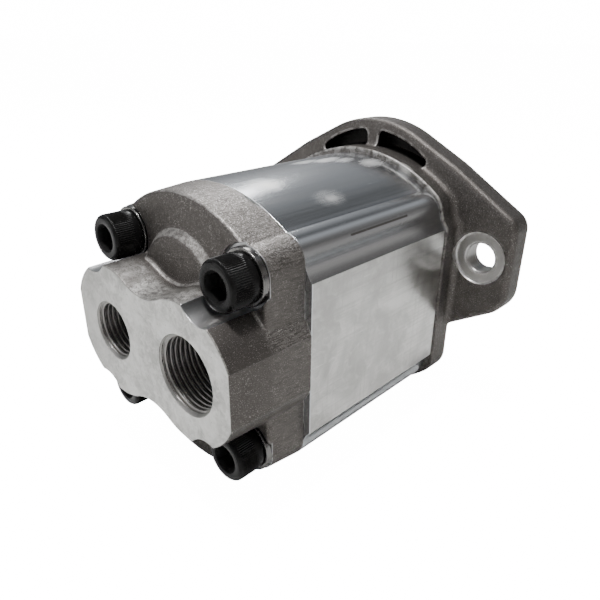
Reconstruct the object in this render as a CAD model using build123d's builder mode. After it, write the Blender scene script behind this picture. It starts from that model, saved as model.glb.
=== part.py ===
from build123d import *
from math import acos, atan2, cos, degrees, hypot, pi, radians, sin, sqrt, tan
import os

# External gear pump with a two-bolt mounting flange, an extruded body and a rear-ported cover.
# The origin is the centre of the pilot at the mounting face, on the drive shaft's axis.
# +Y points out of the flange along the shaft, -Y to the ports, +X to the inlet side, +Z up.
# All sizes are in millimetres and degrees.

# Stack of castings along the shaft
pilot_height = 6.35
plate_thickness = 9.5
flange_thickness = 17.5
body_length = 73.6
cover_thickness = 15.0
boss_height = 16.6

# Gear pair
gear_centres = 32.0
teeth = 11
pressure_angle = 25.0
addendum_factor = 1.0
dedendum_factor = 1.2
tooth_thinning = 0.06
root_fillet = 0.7
flank_steps = 8
gear_width = 31.6
tip_clearance = 0.05
side_clearance = 0.04

# Shafts and plain bearings
journal_radius = 9.0
journal_clearance = 0.03
bush_wall = 1.5
bush_end_gap = 0.1
shaft_end_gap = 1.5
shaft_chamfer = 0.6
end_radius = 7.9375
end_length = 31.75
end_shoulder = 8.0
key_width = 3.97
key_length = 19.05
key_inset = 3.0
key_seat_depth = 2.1
key_chamfer = 0.25
centre_drill_radius = 2.0
centre_drill_depth = 3.0

# Body section, the same at the flange's base and the cover's joint
body_half_height = 49.3
crown_radius = 57.3
lobe_radius = 8.7
lobe_proud = 1.19
valley_round = 1.5
panel_half_width = 42.4
panel_drop = 2.8
flare_radius = 11.7
end_chamfer = 0.25

# Screws that clamp the stack
screw_half_pitch = 29.5
screw_inset = 19.8
screw_radius = 5.0
screw_engagement = 10.95
screw_head_radius = 8.0
screw_head_height = 10.0
screw_head_chamfer = 0.8
screw_tip_chamfer = 0.8
socket_across_flats = 8.0
socket_depth = 5.0
washer_radius = 9.0
washer_thickness = 2.2
washer_bore_gap = 0.3
seat_radius = 10.0
seat_depth = 1.75
screw_hole_gap = 0.4
thread_gap = 0.05

# Rear cover: the plate tapers to a rim with flatter shoulders
rim_drop = 0.7
rim_crown_step = 8.8
rim_lobe_step = 0.6
rim_lobe_proud = 2.45
cover_edge_round = 1.2
bearing_boss_radius = 18.8
bearing_boss_foot = 21.2
bearing_boss_height = 3.0
bearing_boss_blend = 1.5
boss_lobe_inset = 1.0
boss_lobe_radius = 23.8
boss_valley_radius = 19.5
boss_face_inset = 1.0
boss_foot_round = 1.5
boss_edge_round = 0.5
notch_radius = 17.4
notch_width = 1.0
notch_depth = 0.6
notch_x = 17.7

# Ports: nominal radii of the G3/4 and G1/2 threads
port_half_pitch = 20.5
inlet_radius = 13.22
outlet_radius = 10.48
port_chamfer = 0.2
inlet_thread_depth = 17.5
outlet_thread_depth = 15.5
inlet_passage_radius = 9.0
outlet_passage_radius = 7.0

# Mounting flange
top_radius = 46.2
ear_top_rise = 1.4
ear_low_offset = 49.5
ear_angle = 31.2
ear_kink = 15.9
ear_end = 12.7
ear_top_round = 7.0
ear_low_round = 12.0
plate_edge_round = 2.2
pilot_radius = 41.275
pilot_chamfer = 0.8
mount_half_span = 53.2
mount_hole_radius = 5.55
mount_hole_chamfer = 0.6
spot_face_radius = 10.2
spot_face_depth = 1.0
base_grow = 0.5
base_lip = 2.2
base_corner_round = 1.0
base_low_round = 8.0
base_flat_depth = 0.55
base_flat_reach = 30.0
base_front_y = -3.4
base_front_round = 5.6
base_foot_round = 2.6
pocket_rim = 4.1
pocket_floor_y = -2.6
pocket_start = 50.2
pocket_end = 86.0
pocket_corner_round = 2.2

# Rotary shaft seal in the flange
seal_radius = 16.0
seal_width = 7.0
seal_rear_y = -3.1
seal_case_wall = 1.2
seal_case_lip_radius = 12.0
seal_lip_gap = 0.04
lip_back_radius = 11.0
lip_nose = 1.0
lip_tip_inset = 5.0
dust_lip_gap = 0.2
seal_spring_wire = 0.6
shaft_hole_gap = 0.6
drain_radius = 11.5
drain_depth = 1.5
ring_thickness = 1.2
ring_groove_depth = 0.9
ring_groove_play = 0.1
ring_width = 2.4
ring_mouth = 7.0
ring_lug_radius = 2.3
ring_lug_hole = 1.0
fit_gap = 0.02

# Bearing blocks and static seals
block_clearance = 0.03
relief_width = 7.0
relief_length = 6.0
relief_depth = 1.6
relief_centre_x = 5.4
balance_outer = 15.3
balance_inner = 13.3
backup_inner = 12.0
balance_depth = 2.0
balance_cut_x = -8.0
bridge_width = 4.0
bridge_height = 2.2
body_seal_gear_radius = 24.6
body_seal_port_radius = 12.4
body_seal_width = 2.2
body_seal_depth = 1.6
dowel_radius = 2.5
dowel_length = 12.0
dowel_x = 37.3

# Places that follow from the sizes above
middle_z = -gear_centres / 2
driven_z = -gear_centres
half_centres = gear_centres / 2
front_joint_y = -flange_thickness
rear_joint_y = front_joint_y - body_length
cover_rear_y = rear_joint_y - cover_thickness
port_face_y = cover_rear_y - boss_height
seat_y = cover_rear_y + seat_depth
head_seat_y = seat_y - washer_thickness
block_length = (body_length - gear_width) / 2 - side_clearance
gear_front_y = front_joint_y - block_length - side_clearance
pitch_radius = gear_centres / 2
module = gear_centres / teeth
tip_radius = pitch_radius + addendum_factor * module
bore_radius = tip_radius + tip_clearance
bush_radius = journal_radius + journal_clearance + bush_wall
screw_half_height = body_half_height - screw_inset
panel_half_height = screw_half_height - panel_drop
screw_length = front_joint_y - head_seat_y + screw_engagement
ear_half_span = mount_half_span + ear_end
pocket_radius = top_radius - pocket_rim
seal_front_y = seal_rear_y + seal_width
lip_tip_y = seal_front_y - lip_tip_inset
lip_radius = journal_radius + seal_lip_gap
boss_length = port_face_y - rear_joint_y
base_radius = pitch_radius * cos(radians(pressure_angle))
root_radius = pitch_radius - dedendum_factor * module
casting_draft = degrees(atan2(boss_face_inset, -boss_length))
key_front_y = end_length - key_inset
key_floor_z = end_radius - key_seat_depth

os.makedirs("parts", exist_ok=True)


def across(y, z=0.0):
    """Plane across the pump at this y: its x is +X, its y is +Z and it faces the rear."""
    return Plane(origin=(0, y, z), x_dir=(1, 0, 0), z_dir=(0, -1, 0))


def circles_meet(centre_a, radius_a, centre_b, radius_b, side):
    """Point where two circles meet, on the left (side 1) or right (side -1) going from a to b."""
    dx = centre_b[0] - centre_a[0]
    dz = centre_b[1] - centre_a[1]
    distance = hypot(dx, dz)
    along = (radius_a**2 - radius_b**2 + distance**2) / (2 * distance)
    across_line = side * sqrt(radius_a**2 - along**2)
    x = centre_a[0] + (along * dx - across_line * dz) / distance
    z = centre_a[1] + (along * dz + across_line * dx) / distance
    return (x, z)


def point_between(start, end, share):
    """Point at this share of the way from start to end."""
    return (start[0] + (end[0] - start[0]) * share, start[1] + (end[1] - start[1]) * share)


def arc_about(centre, start, end):
    """Shorter arc from start to end about centre."""
    radius = hypot(start[0] - centre[0], start[1] - centre[1])
    first = degrees(atan2(start[1] - centre[1], start[0] - centre[0]))
    last = degrees(atan2(end[1] - centre[1], end[0] - centre[0]))
    sweep = (last - first + 180) % 360 - 180
    return CenterArc(centre, radius, first, sweep)


def quarter_mirrored():
    """Repeat a quarter outline on the left and below."""
    mirror(about=Plane.XZ)
    mirror(about=Plane.YZ)


def lobe_place(half_height, crown, lobe, proud):
    """Centre of the lobe, in line with the crown's centre and the screw, this far proud of the crown."""
    crown_centre = (0, half_height - crown)
    to_screw = hypot(screw_half_pitch, screw_half_height - crown_centre[1])
    share = (crown - lobe + proud) / to_screw
    return point_between(crown_centre, (screw_half_pitch, screw_half_height), share)


def crown_to_lobe(half_height, crown, lobe, lobe_centre):
    """Draw the outline from the top of the crown through the valley, up to the lobe."""
    crown_centre = (0, half_height - crown)
    crown_reach = crown + valley_round
    lobe_reach = lobe + valley_round
    valley_centre = circles_meet(crown_centre, crown_reach, lobe_centre, lobe_reach, 1)
    crown_end = point_between(crown_centre, valley_centre, crown / crown_reach)
    lobe_start = point_between(lobe_centre, valley_centre, lobe / lobe_reach)
    arc_about(crown_centre, (0, half_height), crown_end)
    arc_about(valley_centre, crown_end, lobe_start)
    return lobe_start


def body_outline():
    """Body section: crowned top and bottom, a lobe round each screw and proud flat side panels."""
    lobe_centre = lobe_place(body_half_height, crown_radius, lobe_radius, lobe_proud)
    panel_edge = (panel_half_width, panel_half_height)
    reach = lobe_radius + flare_radius
    flare_centre = circles_meet(lobe_centre, reach, panel_edge, flare_radius, 1)
    flare_start = point_between(lobe_centre, flare_centre, lobe_radius / reach)
    with BuildSketch() as outline:
        with BuildLine():
            lobe_start = crown_to_lobe(body_half_height, crown_radius, lobe_radius, lobe_centre)
            arc_about(lobe_centre, lobe_start, flare_start)
            arc_about(flare_centre, flare_start, panel_edge)
            Line(panel_edge, (panel_half_width, 0))
            quarter_mirrored()
        make_face()
    return outline.sketch


def cover_outline(half_height, crown, lobe, proud):
    """Cover section: crowns and lobes as on the body, with straight sides between the lobes."""
    lobe_centre = lobe_place(half_height, crown, lobe, proud)
    side_start = (lobe_centre[0] + lobe, lobe_centre[1])
    with BuildSketch() as outline:
        with BuildLine():
            lobe_start = crown_to_lobe(half_height, crown, lobe, lobe_centre)
            arc_about(lobe_centre, lobe_start, side_start)
            Line(side_start, (side_start[0], 0))
            quarter_mirrored()
        make_face()
    return outline.sketch


def base_outline():
    """Flange base section: a lobed shoulder at the top, flat sides and plain round corners below."""
    crown_centre = (0, body_half_height - crown_radius)
    crown = crown_radius + base_lip
    corner = lobe_radius + base_grow
    corner_x = lobe_place(body_half_height, crown_radius, lobe_radius, lobe_proud)[0]
    corner_centre = (corner_x, crown_centre[1] + sqrt((crown - corner) ** 2 - corner_x**2))
    corner_start = point_between(crown_centre, corner_centre, crown / (crown - corner))
    flare = flare_radius - base_grow
    panel_edge = (panel_half_width + base_grow, panel_half_height + base_grow)
    flare_centre = circles_meet(corner_centre, corner + flare, panel_edge, flare, 1)
    flare_start = point_between(corner_centre, flare_centre, corner / (corner + flare))
    low_crown_centre = (0, -crown_centre[1])
    low_x = panel_edge[0] - base_low_round
    low_centre = (low_x, low_crown_centre[1] - sqrt((crown - base_low_round) ** 2 - low_x**2))
    low_end = point_between(low_crown_centre, low_centre, crown / (crown - base_low_round))
    with BuildSketch() as outline:
        with BuildLine():
            arc_about(crown_centre, (0, crown_centre[1] + crown), corner_start)
            arc_about(corner_centre, corner_start, flare_start)
            arc_about(flare_centre, flare_start, panel_edge)
            Line(panel_edge, (panel_edge[0], low_centre[1]))
            arc_about(low_centre, (panel_edge[0], low_centre[1]), low_end)
            arc_about(low_crown_centre, low_end, (0, low_crown_centre[1] - crown))
            mirror(about=Plane.YZ)
        make_face()
        side_corners = outline.vertices().filter_by(lambda v: abs(abs(v.X) - panel_edge[0]) < 0.01)
        panel_corners = side_corners.group_by(Axis.Y)[-1]
        fillet(panel_corners, base_corner_round)
    return outline.sketch


def port_boss_outline(grow):
    """Port boss section: a lobe round each port, a valley between them and flat sides."""
    lobe = (port_half_pitch - boss_lobe_inset, 0)
    radius = boss_lobe_radius + grow
    valley_radius = boss_valley_radius - grow
    half_width = panel_half_width - boss_face_inset + grow
    valley_centre = (0, sqrt((radius + valley_radius) ** 2 - lobe[0] ** 2))
    blend = point_between(lobe, valley_centre, radius / (radius + valley_radius))
    side_start = (half_width, sqrt(radius**2 - (half_width - lobe[0]) ** 2))
    with BuildSketch() as outline:
        with BuildLine():
            arc_about(valley_centre, (0, valley_centre[1] - valley_radius), blend)
            arc_about(lobe, blend, side_start)
            Line(side_start, (half_width, 0))
            quarter_mirrored()
        make_face()
    return outline.sketch


def plate_outline():
    """Flange plate: a round top, two ears with unequal corners and a larger round bottom."""
    slope = radians(ear_angle)
    ear_top_offset = top_radius + ear_top_rise
    top_foot = (ear_top_offset * sin(slope), ear_top_offset * cos(slope))
    kink = (top_foot[0] + ear_kink * cos(slope), top_foot[1] - ear_kink * sin(slope))
    kink_turn = atan2(kink[1], kink[0]) + acos(top_radius / hypot(*kink))
    crown_end = (top_radius * cos(kink_turn), top_radius * sin(kink_turn))
    top_centre_x = ear_half_span - ear_top_round
    top_centre = (top_centre_x, (ear_top_offset - ear_top_round - top_centre_x * sin(slope)) / cos(slope))
    low_centre_x = ear_half_span - ear_low_round
    low_centre = (low_centre_x, (low_centre_x * sin(slope) + ear_low_round - ear_low_offset) / cos(slope))
    top_line_end = (top_centre[0] + ear_top_round * sin(slope), top_centre[1] + ear_top_round * cos(slope))
    low_line_end = (low_centre[0] + ear_low_round * sin(slope), low_centre[1] - ear_low_round * cos(slope))
    low_foot = (ear_low_offset * sin(slope), -ear_low_offset * cos(slope))
    with BuildSketch() as outline:
        with BuildLine():
            arc_about((0, 0), (0, top_radius), crown_end)
            Line(crown_end, kink)
            Line(kink, top_line_end)
            arc_about(top_centre, top_line_end, (ear_half_span, top_centre[1]))
            Line((ear_half_span, top_centre[1]), (ear_half_span, low_centre[1]))
            arc_about(low_centre, (ear_half_span, low_centre[1]), low_line_end)
            Line(low_line_end, low_foot)
            arc_about((0, 0), low_foot, (0, -ear_low_offset))
            mirror(about=Plane.YZ)
        make_face()
    return outline.sketch


def pocket_outline():
    """The two curved pockets at the top of the flange's rear side, down to its base."""
    turn_from = radians(pocket_start)
    turn_to = radians(pocket_end)
    with BuildSketch() as outline:
        with BuildLine():
            CenterArc((0, 0), pocket_radius, pocket_start, pocket_end - pocket_start)
            Line((pocket_radius * cos(turn_from), pocket_radius * sin(turn_from)), (0, 0))
            Line((0, 0), (pocket_radius * cos(turn_to), pocket_radius * sin(turn_to)))
        make_face()
        far_corners = outline.vertices().filter_by(lambda v: hypot(v.X, v.Y) > pocket_radius - 0.01)
        fillet(far_corners, pocket_corner_round)
        mirror(about=Plane.YZ)
        with Locations((0, middle_z)):
            add(base_outline(), mode=Mode.SUBTRACT)
    return outline.sketch


def both_bores(radius, mode=Mode.ADD):
    """Circles at the drive and the driven axis, in a sketch centred between them."""
    with Locations((0, half_centres), (0, -half_centres)):
        Circle(radius, mode=mode)


def screw_grid():
    """The four screw places, in a sketch centred between the gears."""
    return GridLocations(2 * screw_half_pitch, 2 * screw_half_height, 2, 2)


def dowel_pair():
    """The two dowel places, in a sketch centred between the gears."""
    return GridLocations(2 * dowel_x, 0, 2, 1)


def body_seal_ring(gap):
    """Closed band round the bores and the port passages, narrower by the gap on each side."""
    both_bores(body_seal_gear_radius - gap)
    with GridLocations(2 * port_half_pitch, 0, 2, 1):
        Circle(body_seal_port_radius - gap)
    make_hull()
    offset(amount=2 * gap - body_seal_width, mode=Mode.SUBTRACT)


def balance_band(inner, outer):
    """Ring round each journal, open on the outlet side."""
    both_bores(outer)
    both_bores(inner, Mode.SUBTRACT)
    with Locations((balance_cut_x - gear_centres, 0)):
        Rectangle(2 * gear_centres, 4 * gear_centres, mode=Mode.SUBTRACT)


def axial(z=0.0):
    """Plane through a shaft's axis: its x is +Y and its y is the radius upwards."""
    return Plane(origin=(0, 0, z), x_dir=(0, 1, 0), z_dir=(1, 0, 0))


def shaft_axis(z):
    """Axis of the shaft at this height."""
    return Axis((0, 0, z), (0, 1, 0))


def involute(angle):
    """Involute function of an angle in radians."""
    return tan(angle) - angle


def flank_point(radius, side):
    """Point of a tooth's flank at this radius, for a tooth that points along +x."""
    pitch_half = pi / (2 * teeth) - tooth_thinning / (2 * pitch_radius)
    spread = involute(radians(pressure_angle)) - involute(acos(base_radius / radius))
    angle = side * (pitch_half + spread)
    return (radius * cos(angle), radius * sin(angle))


def gear_outline(first_tooth):
    """Gear section with involute flanks, the first tooth at this angle in degrees."""
    shares = [(step / flank_steps) ** 2 for step in range(flank_steps + 1)]
    radii = [base_radius + (tip_radius - base_radius) * share for share in shares]
    left_side = [flank_point(radius, 1) for radius in radii]
    right_side = [flank_point(radius, -1) for radius in radii]
    with BuildSketch() as tooth:
        with BuildLine():
            Line((0, 0), right_side[0])
            Spline(*right_side)
            ThreePointArc(right_side[-1], (tip_radius, 0), left_side[-1])
            Spline(*left_side)
            Line(left_side[0], (0, 0))
        make_face()
    with BuildSketch() as gear:
        Circle(root_radius)
        with PolarLocations(0, teeth, start_angle=first_tooth):
            add(tooth.sketch)
        root_corners = gear.vertices().filter_by(lambda v: abs(hypot(v.X, v.Y) - root_radius) < 0.01)
        fillet(root_corners, root_fillet)
    return gear.sketch


def finish(node, name):
    """Label the part and write it to its file."""
    node.part.label = name
    export_step(node.part, f"parts/{name}.step")


# Pump body: an extrusion bored for the gears, with a passage beside the mesh to each port
with BuildPart() as pump_body:
    with BuildSketch(across(front_joint_y, middle_z)):
        add(body_outline())
    extrude(amount=body_length)
    rims = pump_body.faces().sort_by(Axis.Y)
    chamfer(rims[0].outer_wire().edges() + rims[-1].outer_wire().edges(), end_chamfer)
    with BuildSketch(across(front_joint_y, middle_z)):
        both_bores(bore_radius)
        with screw_grid():
            Circle(screw_radius + screw_hole_gap)
    extrude(amount=body_length, mode=Mode.SUBTRACT)
    with BuildSketch(across(rear_joint_y, middle_z)):
        with Locations((port_half_pitch, 0)):
            Circle(inlet_passage_radius)
        with Locations((port_half_pitch / 2, 0)):
            Rectangle(port_half_pitch, 2 * inlet_passage_radius)
        with Locations((-port_half_pitch, 0)):
            Circle(outlet_passage_radius)
        with Locations((-port_half_pitch / 2, 0)):
            Rectangle(port_half_pitch, 2 * outlet_passage_radius)
    extrude(amount=rear_joint_y - gear_front_y, mode=Mode.SUBTRACT)
    for joint_y in (front_joint_y, rear_joint_y):
        with BuildSketch(across(joint_y, middle_z)):
            with dowel_pair():
                Circle(dowel_radius + fit_gap)
        extrude(amount=dowel_length / 2 + fit_gap, both=True, mode=Mode.SUBTRACT)
finish(pump_body, "pump_body")

# Rear cover: plate, bearing bosses and drafted port boss, with the screw seats cut in last
with BuildPart() as rear_cover:
    rim_crown = crown_radius - rim_crown_step
    rim_lobe = lobe_radius - rim_lobe_step
    with BuildSketch(across(rear_joint_y, middle_z)):
        add(cover_outline(body_half_height, crown_radius, lobe_radius, lobe_proud))
    with BuildSketch(across(cover_rear_y, middle_z)):
        add(cover_outline(body_half_height - rim_drop, rim_crown, rim_lobe, rim_lobe_proud))
    loft(ruled=True)
    fillet(rear_cover.faces().sort_by(Axis.Y)[0].outer_wire().edges(), cover_edge_round)
    boss_top_y = cover_rear_y - bearing_boss_height
    skirt_radius = bearing_boss_foot + 2 * bearing_boss_blend
    skirt_y = cover_rear_y + cover_edge_round
    with BuildSketch(axial()) as boss_half:
        Polygon(
            (skirt_y, 0),
            (skirt_y, skirt_radius),
            (cover_rear_y, skirt_radius),
            (cover_rear_y, bearing_boss_foot),
            (boss_top_y, bearing_boss_radius),
            (boss_top_y, 0),
            align=None,
        )
        slope_ends = boss_half.vertices().filter_by(lambda v: 0 < v.Y < skirt_radius - 0.01)
        fillet(slope_ends, bearing_boss_blend)
    revolve(axis=Axis.Y)
    mirror(about=Plane.XY.offset(middle_z))
    with BuildSketch(across(rear_joint_y, middle_z)):
        add(port_boss_outline(boss_face_inset))
    extrude(amount=rear_joint_y - port_face_y, taper=casting_draft)
    boss_foot = rear_cover.edges(Select.NEW)
    boss_foot = boss_foot.filter_by_position(Axis.Y, boss_top_y - 0.1, cover_rear_y + 0.1)
    fillet(boss_foot, boss_foot_round)
    fillet(rear_cover.faces().sort_by(Axis.Y)[0].outer_wire().edges(), boss_edge_round)
    with BuildSketch(across(seat_y, middle_z)):
        with screw_grid():
            Circle(seat_radius)
    extrude(amount=seat_y - port_face_y, mode=Mode.SUBTRACT)
    with BuildSketch(across(rear_joint_y, middle_z)):
        with screw_grid():
            Circle(screw_radius + screw_hole_gap)
        with Locations((port_half_pitch, 0)):
            Circle(inlet_passage_radius)
        with Locations((-port_half_pitch, 0)):
            Circle(outlet_passage_radius)
    extrude(amount=rear_joint_y - port_face_y - port_chamfer, mode=Mode.SUBTRACT)
    with BuildSketch(across(port_face_y, middle_z)):
        with Locations((port_half_pitch, 0)):
            Circle(inlet_radius)
    extrude(amount=-inlet_thread_depth, mode=Mode.SUBTRACT)
    with BuildSketch(across(port_face_y, middle_z)):
        with Locations((-port_half_pitch, 0)):
            Circle(outlet_radius)
    extrude(amount=-outlet_thread_depth, mode=Mode.SUBTRACT)
    chamfer(rear_cover.faces().sort_by(Axis.Y)[0].inner_wires().edges(), port_chamfer)
    with BuildSketch(across(rear_joint_y, middle_z)):
        body_seal_ring(0)
    extrude(amount=body_seal_depth, mode=Mode.SUBTRACT)
    with BuildSketch(across(rear_joint_y, middle_z)):
        with dowel_pair():
            Circle(dowel_radius + fit_gap)
    extrude(amount=dowel_length / 2 + fit_gap, mode=Mode.SUBTRACT)
    crown_centre = (0, body_half_height - crown_radius)
    notch_foot = (notch_x, crown_centre[1] + sqrt(crown_radius**2 - notch_x**2))
    notch_reach = (crown_radius + notch_radius - notch_depth) / crown_radius
    with BuildSketch(across(rear_joint_y, middle_z)):
        with Locations(point_between(crown_centre, notch_foot, notch_reach)):
            Circle(notch_radius)
    extrude(amount=notch_width, mode=Mode.SUBTRACT)
finish(rear_cover, "rear_cover")

# Mounting flange: the ears' plate on a base that continues the body, with the pilot in front
with BuildPart() as flange_base:
    with BuildSketch(across(base_front_y, middle_z)):
        add(base_outline())
    extrude(amount=base_front_y - front_joint_y)
    fillet(flange_base.faces().sort_by(Axis.Y)[-1].edges(), base_front_round)

with BuildPart() as mounting_flange:
    with BuildSketch(across(0)):
        add(plate_outline())
    extrude(amount=plate_thickness)
    fillet(mounting_flange.faces().sort_by(Axis.Y)[0].edges(), plate_edge_round)
    add(flange_base.part)
    base_sides = mounting_flange.faces().filter_by(lambda f: f.bounding_box().min.Y < front_joint_y + 0.01)
    base_foot = base_sides.edges().filter_by_position(Axis.Y, -plate_thickness, -plate_thickness)
    fillet(base_foot, base_foot_round)
    with BuildSketch(across(0)):
        Circle(pilot_radius)
    extrude(amount=-pilot_height)
    chamfer(mounting_flange.faces().sort_by(Axis.Y)[-1].edges(), pilot_chamfer)
    with BuildSketch(across(pocket_floor_y)):
        add(pocket_outline())
    extrude(amount=pocket_floor_y - front_joint_y, mode=Mode.SUBTRACT)
    # Flat ground under the base, narrow because it takes only this depth off the crown
    with BuildSketch(across(front_joint_y, middle_z)):
        with Locations((0, -body_half_height - base_lip)):
            Rectangle(base_flat_reach, 2 * base_flat_depth)
    extrude(amount=front_joint_y - base_front_y, mode=Mode.SUBTRACT)
    with BuildSketch(across(0)):
        with GridLocations(2 * mount_half_span, 0, 2, 1):
            Circle(mount_hole_radius)
    extrude(amount=flange_thickness, mode=Mode.SUBTRACT)
    with BuildSketch(across(-plate_thickness + spot_face_depth)):
        with GridLocations(2 * mount_half_span, 0, 2, 1):
            Circle(spot_face_radius)
    extrude(amount=flange_thickness, mode=Mode.SUBTRACT)
    mount_rims = mounting_flange.edges().filter_by(GeomType.CIRCLE)
    mount_rims = mount_rims.filter_by(lambda e: abs(e.radius - mount_hole_radius) < 0.01)
    chamfer(mount_rims, mount_hole_chamfer)
    with BuildSketch(across(pilot_height)):
        Circle(journal_radius + shaft_hole_gap)
    extrude(amount=pilot_height + flange_thickness, mode=Mode.SUBTRACT)
    with BuildSketch(across(pilot_height)):
        Circle(seal_radius + fit_gap)
    extrude(amount=pilot_height - seal_rear_y, mode=Mode.SUBTRACT)
    with BuildSketch(across(seal_front_y + ring_thickness + ring_groove_play)):
        Circle(seal_radius + ring_groove_depth)
    extrude(amount=ring_thickness + ring_groove_play, mode=Mode.SUBTRACT)
    with BuildSketch(across(front_joint_y, middle_z)):
        with screw_grid():
            Circle(screw_radius + thread_gap)
    extrude(amount=front_joint_y - base_front_y, mode=Mode.SUBTRACT)
    with BuildSketch(across(front_joint_y)):
        Circle(drain_radius)
    extrude(amount=-drain_depth, mode=Mode.SUBTRACT)
    with BuildSketch(across(front_joint_y, middle_z)):
        body_seal_ring(0)
    extrude(amount=-body_seal_depth, mode=Mode.SUBTRACT)
    with BuildSketch(across(front_joint_y, middle_z)):
        with dowel_pair():
            Circle(dowel_radius + fit_gap)
    extrude(amount=-dowel_length / 2 - fit_gap, mode=Mode.SUBTRACT)
finish(mounting_flange, "mounting_flange")

# Drive shaft in one piece with its gear, stepped down to a keyed end
with BuildPart() as drive_gear_shaft:
    with BuildSketch(across(gear_front_y)):
        add(gear_outline(-90))
    extrude(amount=gear_width)
    with BuildSketch(axial()):
        Polygon(
            (rear_joint_y + shaft_end_gap, 0),
            (rear_joint_y + shaft_end_gap, journal_radius - shaft_chamfer),
            (rear_joint_y + shaft_end_gap + shaft_chamfer, journal_radius),
            (end_shoulder - shaft_chamfer, journal_radius),
            (end_shoulder, journal_radius - shaft_chamfer),
            (end_shoulder, end_radius),
            (end_length - shaft_chamfer, end_radius),
            (end_length, end_radius - shaft_chamfer),
            (end_length, 0),
            align=None,
        )
    revolve(axis=shaft_axis(0))
    with BuildSketch(Plane.XY.offset(key_floor_z)):
        with Locations((0, key_front_y - key_length / 2)):
            SlotOverall(key_length + 2 * fit_gap, key_width + 2 * fit_gap, rotation=90)
    extrude(amount=end_radius, mode=Mode.SUBTRACT)
    with BuildSketch(axial()):
        Polygon(
            (end_length, 0),
            (end_length, centre_drill_radius),
            (end_length - centre_drill_depth, 0),
            align=None,
        )
    revolve(axis=shaft_axis(0), mode=Mode.SUBTRACT)
finish(drive_gear_shaft, "drive_gear_shaft")

# Driven shaft, the same gear half a tooth further round so that the two mesh
with BuildPart() as driven_gear_shaft:
    with BuildSketch(across(gear_front_y, driven_z)):
        add(gear_outline(90 + 180 / teeth))
    extrude(amount=gear_width)
    with BuildSketch(axial(driven_z)):
        Polygon(
            (rear_joint_y + shaft_end_gap, 0),
            (rear_joint_y + shaft_end_gap, journal_radius - shaft_chamfer),
            (rear_joint_y + shaft_end_gap + shaft_chamfer, journal_radius),
            (front_joint_y - shaft_end_gap - shaft_chamfer, journal_radius),
            (front_joint_y - shaft_end_gap, journal_radius - shaft_chamfer),
            (front_joint_y - shaft_end_gap, 0),
            align=None,
        )
    revolve(axis=shaft_axis(driven_z))
finish(driven_gear_shaft, "driven_gear_shaft")

# Key with round ends in the drive shaft's seat
with BuildPart() as shaft_key:
    with BuildSketch(Plane.XY.offset(key_floor_z)):
        with Locations((0, key_front_y - key_length / 2)):
            SlotOverall(key_length, key_width, rotation=90)
    extrude(amount=key_width)
    chamfer(shaft_key.faces().sort_by(Axis.Z)[-1].edges(), key_chamfer)
finish(shaft_key, "shaft_key")

# Bearing blocks, bushes and balance seals on both sides of the gears
block_ends = (
    ("front", front_joint_y, -1),
    ("rear", rear_joint_y, 1),
)
for place, joint_y, toward_joint in block_ends:
    gear_side_y = joint_y + toward_joint * block_length
    with BuildPart() as bearing_block:
        with BuildSketch(across(gear_side_y, middle_z)):
            both_bores(bore_radius - block_clearance)
        extrude(amount=toward_joint * block_length)
        with BuildSketch(across(gear_side_y, middle_z)):
            both_bores(bush_radius + fit_gap)
        extrude(amount=toward_joint * block_length, mode=Mode.SUBTRACT)
        with BuildSketch(across(gear_side_y, middle_z)):
            with Locations((relief_centre_x, 0), (-relief_centre_x, 0)):
                Rectangle(relief_length, relief_width)
        extrude(amount=toward_joint * relief_depth, mode=Mode.SUBTRACT)
        with BuildSketch(across(joint_y, middle_z)):
            balance_band(backup_inner - fit_gap, balance_outer + fit_gap)
            Rectangle(bridge_width + 2 * fit_gap, bridge_height + 2 * fit_gap)
        extrude(amount=-toward_joint * balance_depth, mode=Mode.SUBTRACT)
    finish(bearing_block, f"bearing_block_{place}")

    for shaft, axis_z in (("drive", 0), ("driven", driven_z)):
        with BuildPart() as bush:
            with BuildSketch(across(gear_side_y - toward_joint * bush_end_gap, axis_z)):
                Circle(bush_radius)
                Circle(journal_radius + journal_clearance, mode=Mode.SUBTRACT)
            extrude(amount=toward_joint * (block_length - 2 * bush_end_gap))
        finish(bush, f"bush_{shaft}_{place}")

    with BuildPart() as balance_seal:
        with BuildSketch(across(joint_y, middle_z)):
            balance_band(balance_inner, balance_outer)
            Rectangle(bridge_width, bridge_height)
        extrude(amount=-toward_joint * balance_depth)
    finish(balance_seal, f"balance_seal_{place}")

    with BuildPart() as backup_rings:
        with BuildSketch(across(joint_y, middle_z)):
            balance_band(backup_inner, balance_inner - fit_gap)
        extrude(amount=-toward_joint * balance_depth)
    finish(backup_rings, f"backup_rings_{place}")

    with BuildPart() as body_seal:
        with BuildSketch(across(joint_y, middle_z)):
            body_seal_ring(fit_gap)
        extrude(amount=toward_joint * body_seal_depth)
    finish(body_seal, f"body_seal_{place}")

    with BuildPart() as dowel_pins:
        with BuildSketch(across(joint_y, middle_z)):
            with dowel_pair():
                Circle(dowel_radius)
        extrude(amount=dowel_length / 2, both=True)
    finish(dowel_pins, f"dowel_pins_{place}")

# Rotary shaft seal: a case, the lip on the drive shaft and its garter spring
with BuildPart() as shaft_seal_case:
    with BuildSketch(axial()):
        Polygon(
            (seal_rear_y, seal_radius),
            (seal_rear_y, seal_radius - seal_case_wall),
            (seal_front_y - seal_case_wall, seal_radius - seal_case_wall),
            (seal_front_y - seal_case_wall, seal_case_lip_radius),
            (seal_front_y, seal_case_lip_radius),
            (seal_front_y, seal_radius),
            align=None,
        )
    revolve(axis=shaft_axis(0))
finish(shaft_seal_case, "shaft_seal_case")

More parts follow.
